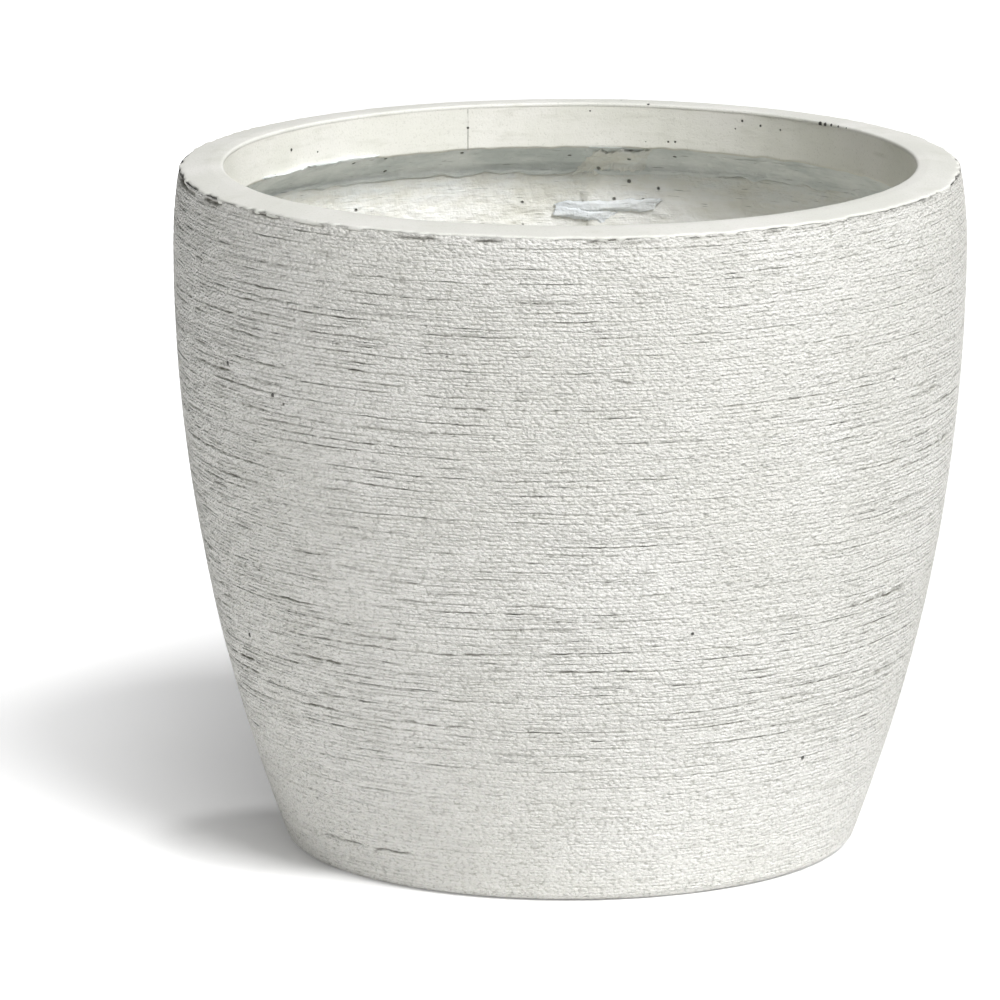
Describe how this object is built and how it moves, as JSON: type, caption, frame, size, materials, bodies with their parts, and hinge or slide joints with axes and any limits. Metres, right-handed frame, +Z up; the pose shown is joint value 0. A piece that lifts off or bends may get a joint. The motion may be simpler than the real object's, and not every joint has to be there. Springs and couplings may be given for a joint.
{
  "type": "fiberclay planter",
  "caption": "Round off-white fiberclay planter with a combed outer wall, a thick smooth rim, a lapped fibre mat lining and a drain plug that lifts out.",
  "frame": {"origin": "centre of the foot, in the plane that the planter stands on", "axes": "+Z up along the planter's axis, out of the mouth; +Y away from the viewer of the picture, +X to the viewer's right"},
  "size_m": [0.421, 0.4208, 0.365],
  "materials": {
    "cast_clay": "matte",
    "cream_mat": "matte",
    "grey_mat": "matte",
    "black_rubber": "matte"
  },
  "bodies": {
    "planter": {"outer_shell": "cast_clay", "wall_mat_1": "cream_mat", "wall_mat_2": "cream_mat", "wall_mat_3": "cream_mat", "wall_mat_4": "cream_mat", "wall_mat_5": "cream_mat", "wall_mat_6": "cream_mat", "rim_strip_1": "grey_mat", "rim_strip_2": "grey_mat", "rim_strip_3": "grey_mat", "floor_mat": "cream_mat"},
    "plug": {"drain_plug": "black_rubber"}
  },
  "joints": [
    {"name": "plug_lift", "type": "slide", "parent": "planter", "child": "plug", "axis": [0, 0, 1], "range_m": [0, 0.38]}
  ]
}
